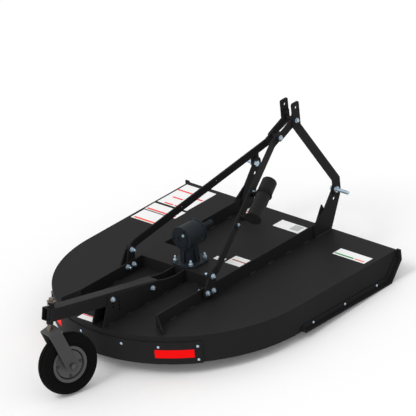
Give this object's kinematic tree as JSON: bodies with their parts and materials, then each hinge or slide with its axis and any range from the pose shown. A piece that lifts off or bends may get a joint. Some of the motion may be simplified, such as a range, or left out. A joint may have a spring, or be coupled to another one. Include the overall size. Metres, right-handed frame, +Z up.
{
  "type": "brush mower",
  "caption": "Tractor-mounted rotary brush mower with a round-backed deck, braced three-point hitch, cross-shaft gearbox and swivelling tail wheel.",
  "frame": {"origin": "bottom centre of the parked machine's box, on the floor", "axes": "+Y forwards to the hitch, +X to the machine's right, +Z up; the deck leans nose-down by its parked tilt"},
  "size_m": [1.72, 2.3585, 0.9052],
  "materials": {
    "black_paint": "satin black powder coat",
    "gearbox_paint": "painted casting",
    "zinc_steel": "zinc plated",
    "bare_steel": "machined",
    "grey_paint": "satin grey",
    "black_plastic": "matte",
    "worn_steel": "scuffed",
    "tyre": "matte rubber"
  },
  "bodies": {
    "frame": {"deck_plate": "black_paint", "rear_skirt": "black_paint", "rear_band": "black_paint", "front_lip": "black_paint", "side_plate_left": "black_paint", "skid_left": "black_paint", "rail_left": "black_paint", "side_plate_right": "black_paint", "skid_right": "black_paint", "rail_right": "black_paint", "platform": "black_paint", "gearbox": "gearbox_paint", "tail_plate_left": "black_paint", "tail_plate_right": "black_paint", "tail_arm": "black_paint", "kingpin_sleeve": "black_paint", "hitch_plate_left": "black_paint", "inner_plate_left": "black_paint", "hitch_pin_left": "zinc_steel", "mast_bar_left": "black_paint", "ear_left": "black_paint", "brace_left": "black_paint", "brace_bracket_left": "black_paint", "hitch_plate_right": "black_paint", "inner_plate_right": "black_paint", "hitch_pin_right": "zinc_steel", "mast_bar_right": "black_paint", "ear_right": "black_paint", "brace_right": "black_paint", "brace_bracket_right": "black_paint", "mast_spacer": "black_paint", "brace_spacer": "black_paint", "manual_tube": "black_plastic", "tube_cap": "black_plastic", "tube_clip": "black_paint"},
    "caster": {"caster_fork": "grey_paint", "kingpin": "bare_steel", "axle": "bare_steel"},
    "wheel": {"wheel_rim": "grey_paint", "tyre": "tyre"},
    "rotor": {"output_shaft": "worn_steel", "blade_bar": "worn_steel", "stump_jumper": "worn_steel"},
    "blade_left": {"blade_left": "worn_steel"},
    "blade_right": {"blade_right": "worn_steel"},
    "input": {"input_shaft": "gearbox_paint"}
  },
  "joints": [
    {"name": "caster_swivel", "type": "hinge", "parent": "frame", "child": "caster", "pos_m": [0, -1.03636, 0.53456], "axis": [0, 0.2574, 0.9663], "continuous": true},
    {"name": "wheel_spin", "type": "hinge", "parent": "caster", "child": "wheel", "pos_m": [0.04135, -0.99351, 0.192], "axis": [0.9527, -0.2938, 0.0782], "continuous": true},
    {"name": "rotor_spin", "type": "hinge", "parent": "frame", "child": "rotor", "pos_m": [0, 0.14882, 0.13731], "axis": [0, 0.0543, 0.9985], "continuous": true},
    {"name": "blade_left_swing", "type": "hinge", "parent": "rotor", "child": "blade_left", "pos_m": [-0.25, 0.14746, 0.11234], "axis": [0, 0.0543, 0.9985], "range_deg": [-95, 95]},
    {"name": "blade_right_swing", "type": "hinge", "parent": "rotor", "child": "blade_right", "pos_m": [0.25, 0.14746, 0.11234], "axis": [0, 0.0543, 0.9985], "range_deg": [-95, 95]},
    {"name": "input_spin", "type": "hinge", "parent": "frame", "child": "input", "pos_m": [0, 0.24279, 0.46569], "axis": [0, 0.9985, -0.0543], "continuous": true}
  ],
  "couplings": [
    {"joint": "input_spin", "follows": "rotor_spin", "ratio": -0.68}
  ]
}
